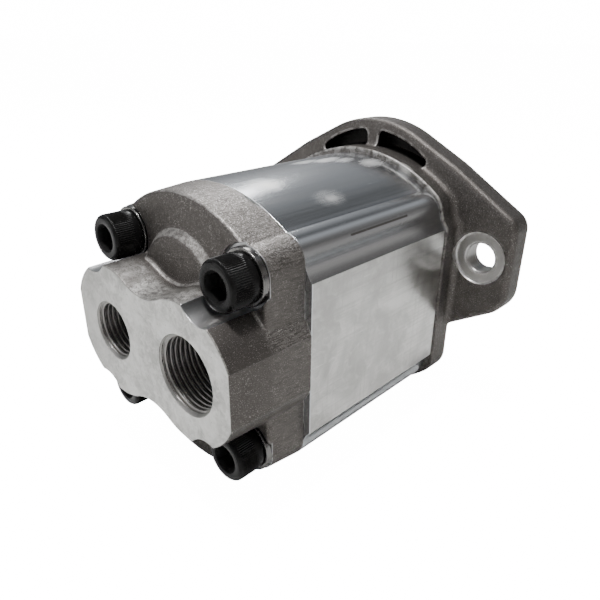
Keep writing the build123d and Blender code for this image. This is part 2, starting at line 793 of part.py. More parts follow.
with BuildPart() as shaft_seal_lip:
    with BuildSketch(axial()):
        Polygon(
            (seal_front_y, seal_case_lip_radius),
            (seal_front_y - seal_case_wall, seal_case_lip_radius),
            (seal_front_y - seal_case_wall, lip_back_radius),
            (lip_tip_y - lip_nose, lip_back_radius),
            (lip_tip_y - lip_nose, lip_radius + lip_nose),
            (lip_tip_y, lip_radius),
            (lip_tip_y + lip_nose, lip_radius + lip_nose),
            (seal_front_y - lip_nose, lip_radius + lip_nose),
            (seal_front_y, lip_radius + dust_lip_gap),
            align=None,
        )
    revolve(axis=shaft_axis(0))
finish(shaft_seal_lip, "shaft_seal_lip")

with BuildPart() as seal_spring:
    with BuildSketch(axial()):
        with Locations((lip_tip_y, lip_back_radius + seal_spring_wire)):
            Circle(seal_spring_wire)
    revolve(axis=shaft_axis(0))
finish(seal_spring, "seal_spring")

# Internal retaining ring in front of the shaft seal, open at the top between two drilled lugs
with BuildPart() as retaining_ring:
    ring_outer = seal_radius + ring_groove_depth - fit_gap
    lug_x = ring_mouth / 2 + ring_lug_radius
    lug_z = sqrt((ring_outer - ring_lug_radius) ** 2 - lug_x**2)
    with BuildSketch(across(seal_front_y + ring_thickness)):
        Circle(ring_outer)
        Circle(ring_outer - ring_width, mode=Mode.SUBTRACT)
        with Locations((0, ring_outer)):
            Rectangle(ring_mouth, ring_outer, mode=Mode.SUBTRACT)
        with Locations((lug_x, lug_z), (-lug_x, lug_z)):
            Circle(ring_lug_radius)
            Circle(ring_lug_hole, mode=Mode.SUBTRACT)
    extrude(amount=ring_thickness)
finish(retaining_ring, "retaining_ring")

# Socket head cap screws with their washers, from the cover's seats into the flange
screw_places = (
    ("upper_right", 1, 1),
    ("upper_left", -1, 1),
    ("lower_right", 1, -1),
    ("lower_left", -1, -1),
)
for place, side_x, side_z in screw_places:
    screw_spot = (side_x * screw_half_pitch, side_z * screw_half_height)
    with BuildPart() as cap_screw:
        with BuildSketch(across(head_seat_y, middle_z)):
            with Locations(screw_spot):
                Circle(screw_head_radius)
        extrude(amount=screw_head_height)
        chamfer(cap_screw.faces().sort_by(Axis.Y)[0].edges(), screw_head_chamfer)
        with BuildSketch(across(head_seat_y, middle_z)):
            with Locations(screw_spot):
                Circle(screw_radius)
        extrude(amount=-screw_length)
        chamfer(cap_screw.faces().sort_by(Axis.Y)[-1].edges(), screw_tip_chamfer)
        with BuildSketch(across(head_seat_y - screw_head_height, middle_z)):
            with Locations(screw_spot):
                RegularPolygon(socket_across_flats / 2, 6, major_radius=False)
        extrude(amount=-socket_depth, mode=Mode.SUBTRACT)
    finish(cap_screw, f"cap_screw_{place}")

    with BuildPart() as washer:
        with BuildSketch(across(head_seat_y, middle_z)):
            with Locations(screw_spot):
                Circle(washer_radius)
                Circle(screw_radius + washer_bore_gap, mode=Mode.SUBTRACT)
        extrude(amount=-washer_thickness)
    finish(washer, f"washer_{place}")
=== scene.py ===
from math import pi, radians

import bpy
import numpy as np
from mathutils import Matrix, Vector


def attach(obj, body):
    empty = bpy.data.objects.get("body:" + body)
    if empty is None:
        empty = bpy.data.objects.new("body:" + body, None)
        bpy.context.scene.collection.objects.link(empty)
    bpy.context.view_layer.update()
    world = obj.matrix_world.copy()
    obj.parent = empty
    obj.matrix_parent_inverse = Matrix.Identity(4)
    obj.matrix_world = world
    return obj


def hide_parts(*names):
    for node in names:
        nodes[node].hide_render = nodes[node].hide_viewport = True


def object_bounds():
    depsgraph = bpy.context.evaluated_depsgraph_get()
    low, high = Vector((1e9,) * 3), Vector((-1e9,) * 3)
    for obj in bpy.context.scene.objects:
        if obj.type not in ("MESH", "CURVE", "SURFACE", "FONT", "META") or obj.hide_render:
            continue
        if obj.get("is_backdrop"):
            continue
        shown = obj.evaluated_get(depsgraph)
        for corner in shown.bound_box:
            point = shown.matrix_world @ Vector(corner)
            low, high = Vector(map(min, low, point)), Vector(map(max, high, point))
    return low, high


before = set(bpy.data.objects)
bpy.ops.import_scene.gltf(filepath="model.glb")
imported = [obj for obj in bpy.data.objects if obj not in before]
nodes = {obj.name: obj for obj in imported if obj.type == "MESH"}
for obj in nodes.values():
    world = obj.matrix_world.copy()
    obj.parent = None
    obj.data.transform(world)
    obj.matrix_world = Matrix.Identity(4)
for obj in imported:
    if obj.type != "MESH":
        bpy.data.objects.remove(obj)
cad_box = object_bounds()

MM = 0.001


def cad_corners(name):
    """Lowest and highest corner of a CAD node, in millimetres."""
    vertices = nodes[name].data.vertices
    points = np.empty(len(vertices) * 3)
    vertices.foreach_get("co", points)
    points = points.reshape(-1, 3) / MM
    return points.min(axis=0).round(2), points.max(axis=0).round(2)


# Places taken from the frame, in millimetres
PORT_FACE = cad_corners("rear_cover")[0][1]
PANEL_FACE = cad_corners("pump_body")[1][0]
washer_low, washer_high = cad_corners("washer_upper_right")
HEAD_SEAT = washer_low[1]
WASHER_SEAT = washer_high[1]
screw_low, screw_high = cad_corners("cap_screw_upper_right")
SCREW_PITCH = (screw_low[0] + screw_high[0]) / 2
MIDDLE = (screw_low[2] + screw_high[2]) / 2 - SCREW_PITCH

# Places and radii on the pump, in millimetres
SEAT_RADIUS = 10.0
PORT_PITCH = 20.5
INLET_RADIUS = 13.22
OUTLET_RADIUS = 10.48
EAR_PITCH = 53.2
SPOT_FACE_RADIUS = 10.2
MASK_EDGE = 0.06

# Camera fitted to the photograph: place in metres, turn in radians, lens in millimetres
CAMERA_PLACE = (0.143894, -0.202991, 0.075167)
CAMERA_TURN = (1.139653, -0.008928, 0.765087)
CAMERA_LENS = 34.0717


def mesh_piece(name, points, faces, sharp=35.0):
    """A mesh object from points in millimetres and faces, smooth except where it turns sharply."""
    mesh = bpy.data.meshes.new(name)
    mesh.from_pydata((points * MM).tolist(), [], faces.tolist())
    mesh.polygons.foreach_set("use_smooth", np.ones(len(mesh.polygons), bool))
    mesh.set_sharp_from_angle(angle=radians(sharp))
    mesh.update()
    piece = bpy.data.objects.new(name, mesh)
    bpy.context.scene.collection.objects.link(piece)
    return piece


def grid_faces(rows, columns, close_rows):
    """Quads of a grid whose columns close on themselves, and whose rows do when close_rows is true."""
    row_count = rows if close_rows else rows - 1
    i, j = np.meshgrid(np.arange(row_count), np.arange(columns), indexing="ij")
    i2 = (i + 1) % rows
    j2 = (j + 1) % columns
    quads = np.stack([i * columns + j, i * columns + j2, i2 * columns + j2, i2 * columns + j], axis=-1)
    return quads.reshape(-1, 4)


def ring_piece(name, radius, along, centre, close_rows, sharp=35.0):
    """Surface of rings about a line parallel to Y: point (i, j) lies at angle 2 pi j / n round the
    centre, at distance radius[i, j] from it and at along[i, j] on Y."""
    count = radius.shape[1]
    angle = np.arange(count) * (2 * pi / count)
    x = centre[0] + radius * np.cos(angle)
    z = centre[1] + radius * np.sin(angle)
    points = np.stack([x, np.broadcast_to(along, radius.shape), z], axis=-1).reshape(-1, 3)
    piece = mesh_piece(name, points, grid_faces(len(radius), count, close_rows), sharp=sharp)
    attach(piece, "housing")
    return piece


def smooth_step(values, start, end):
    """0 before start, 1 after end, and 3t^2 - 2t^3 between."""
    t = np.clip((values - start) / (end - start), 0.0, 1.0)
    return t * t * (3.0 - 2.0 * t)


def cap_screw(name, centre):
    """Socket head cap screw. Every ring of the profile is a circle, a hexagon where its hexagon share is 1
    (distance = half width / cos(angle to the nearest flat)), and fluted where its knurl share is
    above 0 (distance less depth * share * (1 - cos(flutes * angle)) / 2)."""
    flutes, depth = 72, 0.24
    head_radius, head_height = 7.98, 10.0
    hexagon_half, shank_radius, pole_radius = 4.0, 5.0, 0.02
    top = HEAD_SEAT - head_height
    tip = HEAD_SEAT + 99.95
    profile = [
        # distance, along Y, hexagon share, knurl share
        (pole_radius, top + 6.1, 1, 0),
        (1.6, top + 5.6, 1, 0),
        (hexagon_half, top + 5.0, 1, 0),
        (hexagon_half, top + 4.6, 1, 0),
        (hexagon_half, top + 2.5, 1, 0),
        (hexagon_half, top + 1.5, 1, 0),
        (hexagon_half + 0.08, top + 1.2, 0.85, 0),
        (4.7, top + 0.45, 0.1, 0),
        (4.82, top + 0.2, 0, 0),
        (4.9, top + 0.06, 0, 0),
        (5.05, top, 0, 0),
        (6.4, top, 0, 0),
        (6.85, top + 0.03, 0, 0),
        (7.1, top + 0.12, 0, 0),
        (7.35, top + 0.3, 0, 0),
        (7.62, top + 0.6, 0, 0.1),
        (7.8, top + 0.85, 0, 0.35),
        (7.93, top + 1.15, 0, 0.75),
        (head_radius, top + 1.5, 0, 1),
        (head_radius, top + 3.0, 0, 1),
        (head_radius, top + 5.0, 0, 1),
        (head_radius, top + 6.6, 0, 1),
        (head_radius, top + 7.2, 0, 0.8),
        (head_radius - 0.01, top + 7.7, 0, 0.3),
        (head_radius - 0.02, top + 8.1, 0, 0),
        (head_radius - 0.03, top + 8.8, 0, 0),
        (head_radius - 0.03, top + 9.6, 0, 0),
        (head_radius - 0.1, top + 9.82, 0, 0),
        (head_radius - 0.28, top + 9.95, 0, 0),
        (head_radius - 0.58, HEAD_SEAT, 0, 0),
        (shank_radius + 0.4, HEAD_SEAT, 0, 0),
        (shank_radius + 0.1, HEAD_SEAT + 0.1, 0, 0),
        (shank_radius, HEAD_SEAT + 0.4, 0, 0),
        (shank_radius, HEAD_SEAT + 50.0, 0, 0),
        (shank_radius, tip - 0.85, 0, 0),
        (shank_radius - 0.7, tip - 0.05, 0, 0),
        (pole_radius, tip, 0, 0),
    ]
    distance, along, hexagon, knurl = [np.array(column, float)[:, None] for column in zip(*profile)]
    count = 6 * flutes
    angle = np.arange(count) * (2 * pi / count)
    to_flat = (angle + pi / 6) % (pi / 3) - pi / 6
    across = distance / np.cos(to_flat)
    radius = distance + hexagon * (across - distance)
    radius = radius - knurl * depth * (1 - np.cos(flutes * angle)) / 2
    return ring_piece(name, radius, along, centre, False, sharp=40.0)


def washer(name, centre):
    """Flat washer: a rectangle with rounded corners, turned about the screw."""
    inner, outer, edge = 5.3, 9.0, 0.35
    count = 96
    turn = np.linspace(0, pi / 2, 5)
    corners = ((outer - edge, HEAD_SEAT + edge, 0.0), (inner + edge, HEAD_SEAT + edge, 1.0),
               (inner + edge, WASHER_SEAT - edge, 2.0), (outer - edge, WASHER_SEAT - edge, 3.0))
    rings = []
    for middle_r, middle_y, quarter in corners:
        spread = turn + quarter * pi / 2
        rings.append(np.stack([middle_r + edge * np.cos(spread), middle_y - edge * np.sin(spread)], axis=-1))
    profile = np.concatenate(rings)
    radius = np.repeat(profile[:, :1], count, axis=1)
    return ring_piece(name, radius, profile[:, 1:], centre, True)


def thread(name, centre, major, length):
    """Pipe thread of 14 turns to the inch: the wall comes in by depth * wave, where the wave rises and
    falls once a pitch along Y and once a turn and fades at the far end. A cone that loses 0.85 mm of
    radius a millimetre opens the mouth. The strip closes over a plain tube sunk in the casting."""
    pitch, depth = 1.814, 1.162
    steps, count = 16, 144
    cone_slope, run_out, sunk = 0.85, 2.5, 0.35
    start = PORT_FACE + 0.2
    end = start + length
    along = np.arange(start, end, pitch / steps)
    angle = np.arange(count) * (2 * pi / count)
    phase = (along[:, None] - start) / pitch - angle[None, :] / (2 * pi)
    wave = smooth_step(0.5 - 0.5 * np.cos(2 * pi * phase), 0.0, 0.9)
    fade = 1 - smooth_step(along, end - run_out, end)
    cone = major - cone_slope * (along[:, None] - start)
    inner = np.maximum(major - depth * wave * fade[:, None], cone)
    outer = np.full((2, count), major + sunk)
    radius = np.concatenate([inner, outer])
    place = np.concatenate([along, [end, start]])[:, None]
    return ring_piece(name, radius, np.broadcast_to(place, radius.shape), centre, True, sharp=60.0)


def add(tree, kind, inputs=None, **settings):
    """Add a node, set its settings, and link or set its inputs by name or number."""
    made = tree.nodes.new(kind)
    for key, value in settings.items():
        setattr(made, key, value)
    for key, value in (inputs or {}).items():
        if isinstance(value, bpy.types.NodeSocket):
            tree.links.new(value, made.inputs[key])
        else:
            made.inputs[key].default_value = value
    return made


def maths(tree, operation, first, second=0.0, third=0.0):
    """Result of a Math node."""
    return add(tree, "ShaderNodeMath", {0: first, 1: second, 2: third}, operation=operation).outputs[0]


def fade_between(tree, value, low, high, at_low=0.0, at_high=1.0):
    """Smooth change from at_low to at_high as the value goes from low to high."""
    inputs = {"Value": value, "From Min": low, "From Max": high, "To Min": at_low, "To Max": at_high}
    return add(tree, "ShaderNodeMapRange", inputs, interpolation_type="SMOOTHSTEP").outputs[0]


def fade_over(tree, length, low, high, at_low=0.0, at_high=1.0):
    """As fade_between, for a length, with low and high in millimetres."""
    return fade_between(tree, length, low * MM, high * MM, at_low, at_high)


def inside(tree, length, limit):
    """1 where the length is under the limit, in millimetres."""
    return fade_over(tree, length, limit - MASK_EDGE, limit + MASK_EDGE, 1.0, 0.0)


def both(tree, first, second):
    """Product of two masks."""
    return maths(tree, "MULTIPLY", first, second)


def either(tree, first, second):
    """Larger of two masks."""
    return maths(tree, "MAXIMUM", first, second)


def apart_from(tree, mask, left=0.0):
    """1 where the mask is 0, and this much where it is 1."""
    return fade_between(tree, mask, 0.0, 1.0, 1.0, left)


def mix(tree, share, first, second):
    """Value that goes from first to second with the share."""
    return add(tree, "ShaderNodeMix", {0: share, 2: first, 3: second}).outputs[0]


def blend(tree, share, first, second):
    """Colour that goes from first to second with the share."""
    return add(tree, "ShaderNodeMix", {0: share, 6: first, 7: second}, data_type="RGBA").outputs[2]


def shade(red, green, blue):
    """Colour with full alpha."""
    return (red, green, blue, 1.0)


def object_place(tree):
    """Object coordinates, in metres."""
    return add(tree, "ShaderNodeTexCoord").outputs["Object"]


def parts_of(tree, vector):
    """The x, y and z of a vector."""
    return list(add(tree, "ShaderNodeSeparateXYZ", {0: vector}).outputs)


def facing(tree):
    """The three parts of the surface's direction."""
    return parts_of(tree, add(tree, "ShaderNodeNewGeometry").outputs["Normal"])


def scaled(tree, place, by):
    """Place with its parts multiplied one by one."""
    return add(tree, "ShaderNodeVectorMath", {0: place, 1: by}, operation="MULTIPLY").outputs[0]


def noise(tree, place, scale, detail=2.0, roughness=0.5, distortion=0.0):
    """Noise value about 0.5 at this place."""
    inputs = {"Vector": place, "Scale": scale, "Detail": detail, "Roughness": roughness,
              "Distortion": distortion}
    return add(tree, "ShaderNodeTexNoise", inputs).outputs[0]


def reach_from(tree, x, z, centre_x, centre_z):
    """Distance from a line parallel to Y; the line's place is in millimetres."""
    dx = maths(tree, "SUBTRACT", x, centre_x * MM)
    dz = maths(tree, "SUBTRACT", z, centre_z * MM)
    return maths(tree, "SQRT", maths(tree, "MULTIPLY_ADD", dx, dx, maths(tree, "MULTIPLY", dz, dz)))


def reach_from_screw(tree, x, z):
    """Distance from the line of the nearest of the four screws."""
    side = maths(tree, "ABSOLUTE", x)
    rise = maths(tree, "ABSOLUTE", maths(tree, "SUBTRACT", z, MIDDLE * MM))
    return reach_from(tree, side, rise, SCREW_PITCH, SCREW_PITCH)


def new_group(name, inputs, outputs):
    """Shader group with float inputs and outputs; gives its tree and the output of its Group Input."""
    tree = bpy.data.node_groups.new(name, "ShaderNodeTree")
    for label, value in inputs.items():
        socket = tree.interface.new_socket(label, in_out="INPUT", socket_type="NodeSocketFloat")
        socket.default_value = value
    for label in outputs:
        tree.interface.new_socket(label, in_out="OUTPUT", socket_type="NodeSocketFloat")
    return tree, tree.nodes.new("NodeGroupInput").outputs


def close_group(tree, **results):
    """Link the results to the group's outputs by name."""
    out = tree.nodes.new("NodeGroupOutput")
    for label, value in results.items():
        tree.links.new(value, out.inputs[label])
    return tree


def make_grain():
    """Sand-cast skin: a fine bumpy height, broad light and dark tone, and sparse bright glints."""
    tree, given = new_group("cast_grain", {"Grains": 2400.0, "Patches": 180.0}, ("Height", "Tone", "Glints"))
    place = object_place(tree)
    fine = noise(tree, place, given["Grains"], 3.0, 0.65)
    coarse = noise(tree, place, maths(tree, "MULTIPLY", given["Grains"], 0.3), 2.0)
    height = maths(tree, "MULTIPLY_ADD", coarse, 0.8, fine)
    tone = noise(tree, place, given["Patches"], 5.0, 0.68, 0.3)
    points = noise(tree, place, maths(tree, "MULTIPLY", given["Grains"], 1.6), 1.0)
    glints = fade_between(tree, points, 0.58, 0.72)
    return close_group(tree, Height=height, Tone=tone, Glints=glints)


def make_drawn_lines():
    """Lines along Y: fine ones, broad bands, and a few long scratches."""
    results = ("Lines", "Bands", "Scratches")
    tree, given = new_group("drawn_lines", {"Across": 1500.0, "Along": 12.0}, results)
    place = object_place(tree)
    stretch = add(tree, "ShaderNodeCombineXYZ", {0: given["Across"], 1: given["Along"], 2: given["Across"]})
    drawn = scaled(tree, place, stretch.outputs[0])
    lines = noise(tree, drawn, 1.0, 3.0, 0.7)
    bands = noise(tree, drawn, 0.16, 2.0)
    thin = noise(tree, drawn, 0.55, 0.0)
    ridge = maths(tree, "ABSOLUTE", maths(tree, "SUBTRACT", thin, 0.5))
    sparse = fade_between(tree, noise(tree, place, 130.0, 1.0), 0.52, 0.6)
    scratches = both(tree, fade_between(tree, ridge, 0.004, 0.001), sparse)
    return close_group(tree, Lines=lines, Bands=bands, Scratches=scratches)


def make_edge_wear():
    """Rubbed edges: where the surface turns within the width, broken up by noise."""
    tree, given = new_group("edge_wear", {"Width": 0.0005, "Break": 700.0}, ("Mask",))
    rounded = add(tree, "ShaderNodeBevel", {"Radius": given["Width"]}, samples=6).outputs[0]
    normal = add(tree, "ShaderNodeNewGeometry").outputs["Normal"]
    same = add(tree, "ShaderNodeVectorMath", {0: rounded, 1: normal}, operation="DOT_PRODUCT")
    turn = fade_between(tree, same.outputs["Value"], 0.985, 0.8)
    broken = fade_between(tree, noise(tree, object_place(tree), given["Break"], 2.0), 0.3, 0.55, 0.35, 1.0)
    return close_group(tree, Mask=both(tree, turn, broken))


def use(tree, group, **inputs):
    """Place a group in the tree with its own values."""
    made = tree.nodes.new("ShaderNodeGroup")
    made.node_tree = groups[group]
    for label, value in inputs.items():
        made.inputs[label].default_value = value
    return made.outputs


def start_material(name):
    """New material with a Principled shader; gives the material, its tree and the shader."""
    material = bpy.data.materials.new(name)
    material.use_nodes = True
    return material, material.node_tree, material.node_tree.nodes["Principled BSDF"]


def finish_material(tree, shader, colour, roughness, metallic, height, lift, edge=0.0):
    """Feed colour, roughness, metallic and a bump to the shader. The bump's lift and the radius that
    the edges are shaded with are in millimetres."""
    for key, value in (("Base Color", colour), ("Roughness", roughness), ("Metallic", metallic)):
        if isinstance(value, bpy.types.NodeSocket):
            tree.links.new(value, shader.inputs[key])
        else:
            shader.inputs[key].default_value = value
    bump = add(tree, "ShaderNodeBump", {"Strength": 1.0, "Distance": lift * MM, "Height": height})
    tree.links.new(bump.outputs[0], shader.inputs["Normal"])
    if edge:
        rounded = add(tree, "ShaderNodeBevel", {"Radius": edge * MM}, samples=8).outputs[0]
        tree.links.new(rounded, bump.inputs["Normal"])


def soft_spots(tree, x, y, ragged, spots):
    """Soft uneven spots at x and y with half widths across and along, in millimetres, and strengths. A
    spot fades from core to rim, as squared shares of its half widths, moved by the ragged noise."""
    core, rim, raggedness = -0.7, 2.3, 1.7
    total = None
    for spot_x, spot_y, width, length, amount in spots:
        dx = maths(tree, "MULTIPLY", maths(tree, "SUBTRACT", x, spot_x * MM), 1 / (width * MM))
        dy = maths(tree, "MULTIPLY", maths(tree, "SUBTRACT", y, spot_y * MM), 1 / (length * MM))
        reach = maths(tree, "MULTIPLY_ADD", dx, dx, maths(tree, "MULTIPLY", dy, dy))
        reach = maths(tree, "MULTIPLY_ADD", maths(tree, "SUBTRACT", ragged, 0.5), raggedness, reach)
        spot = fade_between(tree, reach, rim, core, 0.0, amount)
        total = spot if total is None else either(tree, total, spot)
    return total


def cover_cast_skin(tree, grain, cloud, y, toward):
    """Sand-cast skin of the cover: painted highlights on its upward-facing dome and on the crest of the port
    boss, and glints.
    """
    steep = maths(tree, "ABSOLUTE", toward[1])
    # Painted highlight: the upward-facing slopes of the dome are painted lighter.
    dome_highlight = both(tree, fade_between(tree, steep, 0.9, 0.75), fade_between(tree, steep, 0.2, 0.4))
    dome_highlight = both(tree, dome_highlight, fade_between(tree, toward[2], 0.1, 0.45))
    dome_highlight = both(tree, dome_highlight, fade_between(tree, grain["Height"], 0.75, 1.05, 0.2, 0.8))
    glints = both(tree, grain["Glints"], fade_between(tree, cloud, 0.3, 0.6, 0.35, 1.0))
    # Painted highlight: the upward-facing crest of the port boss near the port face is painted lighter.
    crest_highlight = both(tree, fade_between(tree, toward[2], 0.8, 0.97),
                 fade_over(tree, y, PORT_FACE + 12.2, PORT_FACE + 7.2))
    crest_highlight = both(tree, crest_highlight, fade_between(tree, grain["Height"], 0.7, 1.1, 0.2, 1.0))
    crest_highlight = both(tree, crest_highlight, fade_between(tree, cloud, 0.4, 0.6, 0.35, 1.0))
    skin = blend(tree, grain["Tone"], shade(0.07, 0.063, 0.058), shade(0.13, 0.119, 0.111))
    skin = blend(tree, dome_highlight, skin, shade(0.5, 0.48, 0.46))
    skin = blend(tree, glints, skin, shade(0.3, 0.285, 0.272))
    return blend(tree, crest_highlight, skin, shade(0.6, 0.585, 0.565))


def cover_filed_skin(tree, fine, grain, toward):
    """Filed side of the cover: dark and light strokes along Y, with glints on its upper side."""
    broad = use(tree, "lines", Across=700.0, Along=60.0)["Lines"]
    dark = either(tree, fade_between(tree, fine, 0.48, 0.6), fade_between(tree, broad, 0.54, 0.66, 0.0, 0.8))
    light = fade_between(tree, fine, 0.46, 0.32)
    glints = both(tree, grain["Glints"], fade_between(tree, toward[2], 0.0, 0.8))
    dark = maths(tree, "MULTIPLY", dark, 0.7)
    skin = blend(tree, dark, shade(0.225, 0.209, 0.197), shade(0.06, 0.055, 0.05))
    skin = blend(tree, maths(tree, "MULTIPLY", light, 0.5), skin, shade(0.5, 0.48, 0.46))
    return blend(tree, glints, skin, shade(0.8, 0.78, 0.76))


def cover_port_face(tree, place, cloud, x, wear):
    """Milled port face: clouded, mottled, darker toward -X, pitted, with rubbed edges."""
    mottle = noise(tree, place, 420.0, 4.0, 0.7, 0.8)
    pits = fade_between(tree, noise(tree, place, 1500.0, 1.0), 0.3, 0.22)
    patches = fade_between(tree, cloud, 0.36, 0.66)
    face = blend(tree, patches, shade(0.38, 0.375, 0.36), shade(0.61, 0.605, 0.585))
    face = blend(tree, fade_between(tree, mottle, 0.4, 0.68, 0.0, 0.6), face, shade(0.72, 0.715, 0.695))
    face = blend(tree, fade_over(tree, x, -12.0, -36.0, 0.0, 0.45), face, shade(0.36, 0.352, 0.34))
    face = blend(tree, pits, face, shade(0.2, 0.19, 0.18))
    return blend(tree, maths(tree, "MULTIPLY", wear, 0.6), face, shade(0.86, 0.85, 0.84))


def cover_material():
    """Cast aluminium, filed along its sides, with a milled port face and turned screw seats."""
    material, tree, shader = start_material("cast_and_machined_aluminium")
    place = object_place(tree)
    x, y, z = parts_of(tree, place)
    toward = facing(tree)
    from_screw = reach_from_screw(tree, x, z)
    grain = use(tree, "grain", Grains=1900.0, Patches=150.0)
    cloud = noise(tree, place, 95.0, 5.0, 0.66, 0.5)
    fine = use(tree, "lines", Across=2500.0, Along=300.0)["Lines"]
    from_upper_screw = reach_from(tree, maths(tree, "ABSOLUTE", x), z, SCREW_PITCH, MIDDLE + SCREW_PITCH)
    turning = add(tree, "ShaderNodeCombineXYZ", {0: from_upper_screw}).outputs[0]
    rings = noise(tree, turning, 900.0, 2.0, 0.6)

    face = inside(tree, y, PORT_FACE + 0.08)
    seat = both(tree, inside(tree, from_screw, SEAT_RADIUS + MASK_EDGE), inside(tree, y, WASHER_SEAT + 0.1))
    machined = either(tree, face, seat)
    wear = use(tree, "wear", Width=0.0006, Break=900.0)["Mask"]
    wear = both(tree, wear, apart_from(tree, inside(tree, from_screw, SEAT_RADIUS + 1.5), 0.2))
    filed = both(tree, fade_between(tree, maths(tree, "ABSOLUTE", toward[1]), 0.75, 0.35),
                 fade_over(tree, y, HEAD_SEAT - 1.95, HEAD_SEAT + 1.05))
    filed = both(tree, filed, fade_between(tree, toward[2], -0.1, 0.75, 0.25, 1.0))

    cast = cover_cast_skin(tree, grain, cloud, y, toward)
    ground = cover_filed_skin(tree, fine, grain, toward)
    cast = blend(tree, maths(tree, "MULTIPLY", filed, 0.85), cast, ground)
    bare = both(tree, wear, maths(tree, "SUBTRACT", 1.0, machined))
    cast = blend(tree, bare, cast, shade(0.74, 0.73, 0.71))
    bright = fade_between(tree, rings, 0.35, 0.65)
    turned = blend(tree, bright, shade(0.3, 0.3, 0.305), shade(0.6, 0.6, 0.605))
    smooth = blend(tree, seat, cover_port_face(tree, place, cloud, x, wear), turned)
    colour = blend(tree, machined, cast, smooth)

    rough_cast = fade_between(tree, grain["Glints"], 0.0, 1.0, 0.52, 0.34)
    rough_smooth = fade_between(tree, seat, 0.0, 1.0, 0.38, 0.34)
    roughness = mix(tree, machined, rough_cast, rough_smooth)
    metallic = fade_between(tree, machined, 0.0, 1.0, 0.85, 1.0)
    height = maths(tree, "MULTIPLY_ADD", both(tree, fine, filed), -0.35, grain["Height"])
    height = both(tree, height, apart_from(tree, machined, 0.05))
    height = maths(tree, "MULTIPLY_ADD", both(tree, rings, seat), 0.3, height)
    finish_material(tree, shader, colour, roughness, metallic, height, 0.07, 0.5)
    return material


def body_round_skin(tree, lines, matt_highlight_spots, x, y, z):
    """Drawn round side of the body: lines and bands along Y, one dark rub mark, and pale matt spots painted
    on as highlights.
    """
    mark_height, mark_middle, mark_half_length = 19.6, -53.7, 15.5
    off_height = maths(tree, "ABSOLUTE", maths(tree, "SUBTRACT", z, mark_height * MM))
    off_middle = maths(tree, "ABSOLUTE", maths(tree, "SUBTRACT", y, mark_middle * MM))
    mark = both(tree, fade_over(tree, off_height, 0.4, 0.2), inside(tree, off_middle, mark_half_length))
    mark = both(tree, mark, fade_over(tree, x, 30.0, 31.0))
    skin = blend(tree, lines["Lines"], shade(0.5, 0.52, 0.545), shade(0.66, 0.675, 0.695))
    skin = blend(tree, fade_between(tree, lines["Bands"], 0.4, 0.62, 0.0, 0.5), skin, shade(0.6, 0.61, 0.62))
    skin = blend(tree, maths(tree, "MULTIPLY", mark, 0.8), skin, shade(0.16, 0.15, 0.14))
    # The pale matt spots are painted highlights.
    return blend(tree, matt_highlight_spots, skin, shade(0.9, 0.89, 0.86))


def body_panel_skin(tree, lines, cloud, ragged, cross, z):
    """Milled flat side of the body: clouds, lines along Y and fainter strokes across, and painted shade that
    darkens its top.
    """
    patches = fade_between(tree, cloud, 0.35, 0.65)
    skin = blend(tree, patches, shade(0.44, 0.436, 0.424), shade(0.68, 0.675, 0.657))
    dark = fade_between(tree, lines["Lines"], 0.45, 0.62, 0.0, 0.5)
    skin = blend(tree, dark, skin, shade(0.44, 0.435, 0.42))
    skin = blend(tree, fade_between(tree, cross, 0.52, 0.66, 0.0, 0.5), skin, shade(0.46, 0.455, 0.44))
    skin = blend(tree, fade_between(tree, ragged, 0.5, 0.75, 0.0, 0.5), skin, shade(0.76, 0.755, 0.737))
    # Painted shade: the upper part of the panel is painted darker.
    return blend(tree, fade_over(tree, z, -12.0, 8.0, 0.0, 0.35), skin, shade(0.3, 0.297, 0.29))


